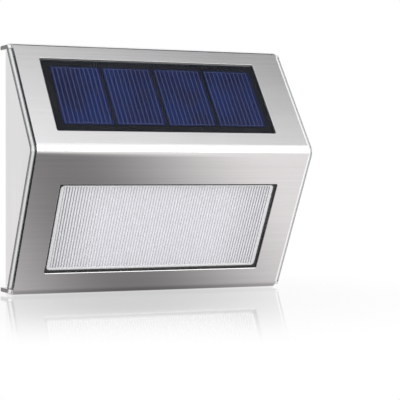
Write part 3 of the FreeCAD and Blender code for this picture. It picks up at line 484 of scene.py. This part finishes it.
wrap = {
    "film": (0.10, 0.26, 0.42, 1),
    "cap": (0.55, 0.56, 0.57, 1),
    "filmEnd": (0.0230, 0.0236),    # from the middle, where bare metal begins
    "capMetal": 0.9,
    "wrinkles": (40, 500, 500),
    "roughness": 0.28,
    "wrinkleRoughness": 0.12,
    "bump": 0.2,
    "depth": 0.00004,
}


def batteryWrap(name, look):
    finish = Finish(name)
    ends = finish.axes()[0].size().band(*look["filmEnd"])
    wrinkle = finish.streaks(look["wrinkles"])
    return finish.close(finish.shader(
        Base_Color=finish.blend(ends, look["film"], look["cap"]),
        Metallic=ends * look["capMetal"],
        Roughness=look["roughness"] + wrinkle * look["wrinkleRoughness"],
        Normal=finish.bump(wrinkle, look["bump"], look["depth"]),
    ))


coil = {
    "core": (0.05, 0.048, 0.046, 1),
    "copper": (0.42, 0.15, 0.055, 1),
    "depthIn": 0.0096,        # wall to the middle of the winding
    "halfLong": 0.0013,
    "turns": 9000.0,
    "metal": 0.8,
    "scuff": 300.0,
    "roughness": 0.45,
    "scuffRoughness": 0.2,
    "bump": 0.5,
    "depth": 0.0001,
}


def woundCoil(name, look):
    finish = Finish(name)
    y = finish.axes()[1]
    turns = (y * look["turns"]).take("SINE")
    scuff = finish.noise(look["scuff"])
    waist = (y + look["depthIn"]).size() < look["halfLong"]
    return finish.close(finish.shader(
        Base_Color=finish.blend(waist, look["core"], look["copper"]),
        Metallic=waist * look["metal"],
        Roughness=look["roughness"] + scuff * look["scuffRoughness"],
        Normal=finish.bump(turns * waist, look["bump"], look["depth"]),
    ))


lampResin = {
    "dome": (0.93, 0.92, 0.86, 1),
    "foot": (0.75, 0.66, 0.28, 1),
    "footDepth": 0.0088,      # wall to where the yellow foot ends
    "footBlur": 0.0002,
    "clear": 0.55,
    "coat": 0.3,
    "cloud": 500.0,
    "roughness": 0.10,
    "cloudRoughness": 0.1,
}


def clearLamp(name, look):
    finish = Finish(name)
    y = finish.axes()[1]
    foot = (y + look["footDepth"]).band(-look["footBlur"], look["footBlur"])
    cloud = finish.noise(look["cloud"])
    return finish.close(finish.shader(
        Base_Color=finish.blend(foot, look["dome"], look["foot"]),
        Roughness=look["roughness"] + cloud * look["cloudRoughness"],
        Transmission_Weight=look["clear"],
        Coat_Weight=look["coat"],
    ))


finishes = {
    "steel": brushed("cover_steel", coverSteel, shadedCuts=True),
    "end_steel": brushed("end_steel", endSteel),
    "screw": brushed("screw_steel", screwSteel),
    "contact": brushed("contact_nickel", nickel),
    "silver": silvered("silvered_tray"),
    "clear_body": clearPlastic("clear_housing", clearHousing),
    "clear_lens": ribbedPlastic("clear_ribbed_lens", lensLook),
    "laminate": clearPlastic("clear_laminate", clearLaminate),
    "cell": silicon("cell_silicon", cellLook),
    "green_board": circuit("green_board", greenBoard),
    "lamp": clearLamp("lamp_resin", lampResin),
    "coil": woundCoil("wound_coil", coil),
    "battery": batteryWrap("battery_wrap", wrap),
}
for slot, look in plastics.items():
    finishes[slot] = moulded(**look)

for part in frame["record"]["subparts"]:
    piece = nodes[part["node"]]
    piece.data.materials.clear()
    piece.data.materials.append(finishes[part["material_slot"]])
print("finishes:", len(finishes))


def newThing(name, data):
    thing = bpy.data.objects.new(name, data)
    bpy.context.scene.collection.objects.link(thing)
    return thing


class Grower(Graph):
    # a geometry tree with named inputs, its modifier and the plain mesh it leaves

    def __init__(self, name, sizes):
        super().__init__(bpy.data.node_groups.new(name, "GeometryNodeTree"))
        self.name = name
        self.sizes = sizes
        face = self.tree.interface
        face.new_socket(name="Geometry", in_out="OUTPUT", socket_type="NodeSocketGeometry")
        self.sockets = {}
        for label, value in sizes.items():
            kind = "NodeSocketInt" if isinstance(value, int) else "NodeSocketFloat"
            self.sockets[label] = face.new_socket(name=label, in_out="INPUT", socket_type=kind)
        entry = self.tree.nodes.new("NodeGroupInput")
        self.inputs = {socket.name: Wire(self, socket) for socket in entry.outputs if socket.name}

    def vector(self, x=0.0, y=0.0, z=0.0):
        return self.add("ShaderNodeCombineXYZ", None, {0: x, 1: y, 2: z})

    def here(self):
        return self.split(self.add("GeometryNodeInputPosition"))

    def block(self, *size):
        return self.add("GeometryNodeMeshCube", None, {"Size": self.vector(*size)})

    def repeated(self, instance, count, start, step):
        line = {"Count": count, "Start Location": start, "Offset": step}
        points = self.add("GeometryNodeMeshLine", {"mode": "OFFSET"}, line)
        values = {"Points": points, "Instance": instance}
        return self.add("GeometryNodeInstanceOnPoints", None, values)

    def moved(self, geometry, *place):
        values = {"Geometry": geometry, "Position": self.vector(*place)}
        return self.add("GeometryNodeSetPosition", None, values)

    def join(self, *parts):
        node = self.tree.nodes.new("GeometryNodeJoinGeometry")
        for part in parts:
            self.tree.links.new(part.socket, node.inputs[0])
        return Wire(self, node.outputs[0])

    def grow(self, geometry, material):
        whole = self.add("GeometryNodeRealizeInstances", None, {0: geometry})
        values = {"Geometry": whole, "Material": material}
        painted = self.add("GeometryNodeSetMaterial", None, values)
        self.add("NodeGroupOutput", None, {0: painted})
        thing = newThing(self.name, bpy.data.meshes.new(self.name))
        modifier = thing.modifiers.new(self.name, "NODES")
        modifier.node_group = self.tree
        for label, value in self.sizes.items():
            modifier[self.sockets[label].identifier] = value
        bpy.context.view_layer.update()
        graph = bpy.context.evaluated_depsgraph_get()
        mesh = bpy.data.meshes.new_from_object(thing.evaluated_get(graph))
        thing.modifiers.clear()
        thing.data = mesh
        mesh.name = self.name
        return thing


def onSlope(thing, lean, x, rise, height):
    # from flat in XY to a slope: x along the light, y up the slope, z out of its face
    up = body["foldHeight"] + rise * math.cos(lean) + height * math.sin(lean)
    out = body["foldDepth"] - rise * math.sin(lean) + height * math.cos(lean)
    turn = Matrix.Rotation(math.pi / 2 - lean, 4, "X")
    thing.data.transform(Matrix.Translation((x, -out, up)) @ turn)
    thing.data.update()


fingers = {
    "cells": 4,
    "cellPitch": 0.022075,
    "cellWidth": 0.020575,
    "cellHeight": 0.0292,
    "bareEnds": 0.0012,       # cell height left bare, top and bottom together
    "count": 11,
    "width": 0.00022,
    "thick": 0.00003,
    "barWidth": 0.00016,      # two bars join the fingers' ends
    "barThick": 0.8,          # as a share of the fingers' thickness
    "barOver": 1.5,           # finger widths that a bar adds to the outer fingers' spacing
    "shift": -0.0014,
    "lift": 0.00085,          # up from the middle of the slope
    "sink": 0.00065,          # cell faces below the steel
}


def cellFingers():
    look = fingers
    grower = Grower("cell_fingers", {
        "Cells": look["cells"],
        "Cell pitch": look["cellPitch"],
        "Cell width": look["cellWidth"],
        "Cell height": look["cellHeight"],
        "Bare ends": look["bareEnds"],
        "Fingers": look["count"],
        "Finger width": look["width"],
        "Bar width": look["barWidth"],
        "Thickness": look["thick"],
    })
    wires = grower.inputs
    # one cell's print: upright fingers and two bars across them
    pitch = wires["Cell width"] / wires["Fingers"]
    first = (wires["Fingers"] - 1) * pitch * -0.5
    reach = wires["Cell height"] - wires["Bare ends"]
    finger = grower.block(wires["Finger width"], reach, wires["Thickness"])
    comb = grower.repeated(finger, wires["Fingers"], grower.vector(first), grower.vector(pitch))
    long = wires["Cell width"] - pitch + wires["Finger width"] * look["barOver"]
    bar = grower.block(long, wires["Bar width"], wires["Thickness"] * look["barThick"])
    foot, step = grower.vector(0.0, reach * -0.5), grower.vector(0.0, reach)
    printed = grower.join(comb, grower.repeated(bar, 2, foot, step))
    # the same print on every cell
    start = (wires["Cells"] - 1) * wires["Cell pitch"] * -0.5
    start, step = grower.vector(start), grower.vector(wires["Cell pitch"])
    panel = grower.repeated(printed, wires["Cells"], start, step)
    thing = grower.grow(panel, printedSilver("printed_silver", silverPrint))
    middle = upperRise / math.cos(upperLean) / 2
    height = look["thick"] / 2 - look["sink"]
    onSlope(thing, upperLean, look["shift"], middle + look["lift"], height)
    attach(thing, "light")


cellFingers()
print("cell fingers made")


lens = {
    "width": 0.0920,
    "height": 0.0389,
    "thick": 0.0022,
    "ribs": 76,
    "pitch": 0.00117,
    "depth": 0.00045,
    "endMargin": 0.0007,      # plain strip above and below the ribs
    "ramp": 0.0003,           # run-out at a rib's ends
    "shoulder": 0.2,          # width of the step beside the last rib, as a share of the run-out
    "corner": 0.0016,
    "steps": 10,              # faces across one rib
    "marginSteps": 4,
    "merge": 0.000002,        # points nearer than this become one
    "shift": 0.0003,
    "sag": 0.0029,            # down from the middle of the slope
    "sink": 0.0012,           # lens face below the steel
}


def ribbedLens():
    look = lens
    grower = Grower("ribbed_lens_face", {
        "Width": look["width"],
        "Height": look["height"],
        "Thickness": look["thick"],
        "Ribs": look["ribs"],
        "Rib pitch": look["pitch"],
        "Rib depth": look["depth"],
        "End margin": look["endMargin"],
        "Run-out": look["ramp"],
        "Corner": look["corner"],
        "Steps": look["steps"],
        "Margin steps": look["marginSteps"],
    })
    wires = grower.inputs
    margin, corner = wires["Margin steps"], wires["Corner"]
    ribSteps = wires["Ribs"] * wires["Steps"]
    halfWidth, halfHeight = wires["Width"] * 0.5, wires["Height"] * 0.5
    # a grid of whole steps, spaced out below; from the middle: ribs, a shoulder and the margin
    # across, and the ribs' length, the run-out and the margin up and down
    across, along = ribSteps + 2 + margin * 2, margin * 2 + 4
    sheet = grower.add("GeometryNodeMeshGrid", None, {
        "Size X": across, "Size Y": along, "Vertices X": across + 1, "Vertices Y": along + 1})
    x, y = grower.here()[:2]
    side, level = x.take("SIGN"), y.take("SIGN")
    column, row = x.size(), y.size()
    half = ribSteps * 0.5
    sideMargin = (wires["Width"] - wires["Ribs"] * wires["Rib pitch"]) * 0.5
    shoulder = wires["Run-out"] * look["shoulder"]
    farX = (column.take("MINIMUM", half) * wires["Rib pitch"] / wires["Steps"]
            + (column - half).clamped() * shoulder
            + ((column - half - 1.0) / margin).clamped() * (sideMargin - shoulder))
    straight = halfHeight - wires["End margin"] - wires["Run-out"]
    farY = (row.clamped() * straight
            + (row - 1.0).clamped() * wires["Run-out"]
            + ((row - 2.0) / margin).clamped() * wires["End margin"])
    # half-round ribs that die out before the margins
    phase = side * farX / wires["Rib pitch"]
    wave = phase.take("FRACT") * math.pi
    ribbed = (column < half + 0.5) * (2.0 - row).clamped()
    drop = (1.0 - wave.take("SINE")) * ribbed * wires["Rib depth"]
    # corners drawn in to their radius
    overX, overY = farX - halfWidth + corner, farY - halfHeight + corner
    beyond = (overX > 0.0) * (overY > 0.0)
    reach = (overX * overX + overY * overY).take("SQRT")
    pull = (reach / corner).take("MAXIMUM", 1.0)
    shrink = 1.0 - beyond * (1.0 - 1.0 / pull)
    newX = side * (farX - beyond * overX * (1.0 - shrink))
    newY = level * (farY - beyond * overY * (1.0 - shrink))
    top = grower.moved(sheet, newX, newY, drop * -1.0)
    low = grower.moved(sheet, newX, newY, wires["Thickness"] * -1.0)
    under = grower.add("GeometryNodeFlipFaces", None, {"Mesh": low})
    # a wall down from the open edge of the top
    faces = grower.add("GeometryNodeInputMeshEdgeNeighbors")
    rim = grower.add("GeometryNodeExtrudeMesh", {"mode": "EDGES"}, {
        "Mesh": top, "Selection": faces < 2.0, "Offset": grower.vector(0.0, 0.0, -1.0),
        "Offset Scale": wires["Thickness"]})
    wallX, wallY, wallZ = grower.here()
    lowest = wallZ.take("MAXIMUM", wires["Thickness"] * -1.0)
    wall = grower.moved(rim, wallX, wallY, lowest)
    whole = grower.add("GeometryNodeMergeByDistance", None, {
        "Geometry": grower.join(wall, under), "Distance": look["merge"]})
    thing = grower.grow(whole, finishes["clear_lens"])
    middle = lowerRise / math.cos(lowerLean) / 2
    onSlope(thing, -lowerLean, look["shift"], -middle - look["sag"], -look["sink"])
    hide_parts("ribbed_lens")
    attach(thing, "light")


ribbedLens()
print("ribbed lens made")


laminate = {
    "air": 0.00002,           # film of air between the cells and the laminate
    "underside": -0.0005,     # below the steel face; points deeper than this are lifted
}


def coverSheet():
    # the laminate's own shape, its underside just clear of the cells and the board
    node = nodes["solar_cover_sheet"]
    thing = newThing("solar_cover_laminate", node.data.copy())
    outward = Vector((0, -math.cos(upperLean), math.sin(upperLean)))
    corner = Vector((0, -body["foldDepth"], body["foldHeight"]))
    for vertex in thing.data.vertices:
        if (vertex.co - corner).dot(outward) < laminate["underside"]:
            vertex.co += outward * laminate["air"]
    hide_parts("solar_cover_sheet")
    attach(thing, "light")


coverSheet()
print("laminate made")


studio = {
    "fill": 0.62,             # world light on matt surfaces
    "bright": 1.22,           # what metal sees of the backdrop
    "dim": 0.02,              # and of an unlit patch up on the right
    "dimHeading": (0.395, 0.718, 0.574),
    "dimEdge": (0.525, 0.562),
    "dimFront": (0.05, 0.40),
    "dimAbove": (0.25, 0.50),
    "left": 0.38,             # less light from the far left
    "leftEdge": (-0.85, -0.40),
    "front": 0.22,            # and from the upper front
    "frontEdge": (-0.60, -0.35),
    "frontAbove": (0.12, 0.45),
    "wall": 0.30,             # and from behind
    "wallEdge": (0.60, 0.95),
}

ground = {
    "level": -0.0502,
    "reach": 3.0,
    "matt": grey(0.86),
    "shade": (0.24, 0.95),    # floor as metal sees it: a band of painted shadow, and away from it
    "shadeCentre": (-0.016, -0.040, -0.0502),
    "shadeAcross": (0.90, -0.28, 0.0),
    "shadeReach": (0.002, 0.094),
    "contactFront": (-0.0126, -0.0112),    # painted contact shadow along the light's foot
    "contactRear": (-0.0095, -0.0080),
    "contactDepth": 0.35,     # how much darker
    "tone": (1.0, 0.970, 0.962, 1),    # slightly warm, as metal mirrors it
    "rearShade": 0.97,        # floor behind the wall line, mirrored in the end plates
    "rearEdge": (-0.004, 0.012),
    "glow": 0.92,             # share of plain white near the light, as the camera sees it
    "gloss": 0.42,            # share of mirror near the light
    "glossTint": grey(0.96),
    "glossRoughness": 0.05,
    "nearReach": (0.03, 0.17),    # how far shadow and gloss go
}

lamps = {
    "frontBox": {
        "place": (0.33, -0.76, 0.30), "aim": (0, -0.03, 0.01),
        "size": (0.62, 0.80), "power": 2.9, "mirrored": True,
    },
    "leftBox": {
        "place": (-0.70, -0.45, 0.25), "aim": (0, -0.03, 0.0),
        "size": (0.60, 0.80), "power": 3.3, "mirrored": False,
    },
}

sight = {                     # read from the photograph's edges; pixels, degrees, metres
    "focal": 1496.8,
    "yaw": 24.151,
    "pitch": 1.113,
    "roll": 0.106,
    "offset": (-0.025344, -0.012824, 0.625640),
    "sensor": 36.0,           # millimetres
    "frame": 400,
    "nearClip": 0.01,
}


def backdrop():
    world = bpy.data.worlds.new("studio")
    bpy.context.scene.world = world
    world.use_nodes = True
    world.node_tree.nodes.clear()
    graph = Graph(world.node_tree)
    heading = graph.add("ShaderNodeTexCoord", out="Generated")
    right, behind, above = graph.split(heading)
    toDim = tuple(Vector(studio["dimHeading"]).normalized())
    nearness = graph.vectorMath("DOT_PRODUCT", heading, toDim)
    dim = nearness.band(*studio["dimEdge"]) * above.band(*studio["dimAbove"])
    dim = dim * (1.0 - behind.band(*studio["dimFront"]))
    bright = studio["bright"] - behind.band(*studio["wallEdge"]) * studio["wall"]
    bright = bright - (1.0 - right.band(*studio["leftEdge"])) * studio["left"]
    upperFront = (1.0 - behind.band(*studio["frontEdge"])) * above.band(*studio["frontAbove"])
    bright = bright - upperFront * studio["front"]
    seen = bright + dim * (studio["dim"] - bright)
    level = studio["fill"] + graph.ray("Glossy") * (seen - studio["fill"])
    white = (graph.ray("Camera") + graph.ray("Transmission")).clamped()
    level = level + white * (1.0 - level)
    surface = graph.add("ShaderNodeBackground", None, {"Color": grey(1.0), "Strength": level})
    graph.add("ShaderNodeOutputWorld", None, {"Surface": surface})


def floorFinish():
    finish = Finish("floor")
    y = finish.axes()[1]
    # what metal mirrors: the floor with painted shadow
    offset = finish.vectorMath("SUBTRACT", finish.place, ground["shadeCentre"], "Vector")
    across = finish.vectorMath("DOT_PRODUCT", offset, ground["shadeAcross"]).size()
    contact = y.band(*ground["contactFront"]) * (1.0 - y.band(*ground["contactRear"]))
    low, high = ground["shade"]
    shade = low + across.band(*ground["shadeReach"]) * (high - low)
    shade = shade * (1.0 - contact * ground["contactDepth"])
    shade = shade + y.band(*ground["rearEdge"]) * (ground["rearShade"] - shade)
    values = {"Color": ground["tone"], "Strength": shade}
    toMetal = finish.add("ShaderNodeEmission", None, values)
    # what the camera sees: white, with a little shadow and gloss near the light
    away = finish.vectorMath("DISTANCE", finish.place, ground["shadeCentre"])
    near = 1.0 - away.band(*ground["nearReach"])
    matt = finish.add("ShaderNodeBsdfDiffuse", None, {"Color": ground["matt"]})
    white = finish.add("ShaderNodeEmission", None, {"Color": grey(1.0), "Strength": 1.0})
    values = {"Color": ground["glossTint"], "Roughness": ground["glossRoughness"]}
    mirror = finish.add("ShaderNodeBsdfGlossy", None, values)
    straight = finish.ray("Camera")
    lit = finish.mixed(straight * (1.0 - near * (1.0 - ground["glow"])), matt, white)
    sheen = finish.mixed(straight * near * ground["gloss"], lit, mirror)
    return finish.close(finish.mixed(finish.ray("Glossy"), sheen, toMetal))


def floor():
    mesh = bpy.data.meshes.new("floor")
    reach, level = ground["reach"], ground["level"]
    turns = ((-1, -1), (1, -1), (1, 1), (-1, 1))
    mesh.from_pydata([(x * reach, y * reach, level) for x, y in turns], [], [(0, 1, 2, 3)])
    mesh.materials.append(floorFinish())
    newThing("floor", mesh)


def lamp(name, place, aim, size, power, mirrored):
    light = bpy.data.lights.new(name, "AREA")
    light.shape = "RECTANGLE"
    light.size, light.size_y = size
    light.energy = power
    thing = newThing(name, light)
    thing.visible_glossy = mirrored
    heading = Vector(aim) - Vector(place)
    turn = heading.to_track_quat("-Z", "Y").to_matrix().to_4x4()
    thing.matrix_world = Matrix.Translation(place) @ turn


def camera():
    yaw, pitch, roll = (math.radians(sight[name]) for name in ("yaw", "pitch", "roll"))
    # rows of turn: the picture's right, its down and the way it looks
    standing = Matrix(((1, 0, 0), (0, 0, -1), (0, 1, 0)))
    turn = (Matrix.Rotation(roll, 3, "Z") @ Matrix.Rotation(pitch, 3, "X") @ standing
            @ Matrix.Rotation(yaw, 3, "Z"))
    place = -(turn.transposed() @ Vector(sight["offset"]))
    eye = bpy.data.cameras.new("camera")
    eye.sensor_width = sight["sensor"]
    eye.lens = sight["focal"] * sight["sensor"] / sight["frame"]
    eye.clip_start = sight["nearClip"]
    thing = newThing("camera", eye)
    facing = Matrix((turn[0], -turn[1], -turn[2])).transposed().to_4x4()
    thing.matrix_world = Matrix.Translation(place) @ facing
    bpy.context.scene.camera = thing


backdrop()
floor()
for name, look in lamps.items():
    lamp(name, **look)
camera()
bpy.context.scene.view_settings.view_transform = "Standard"
print("studio ready")
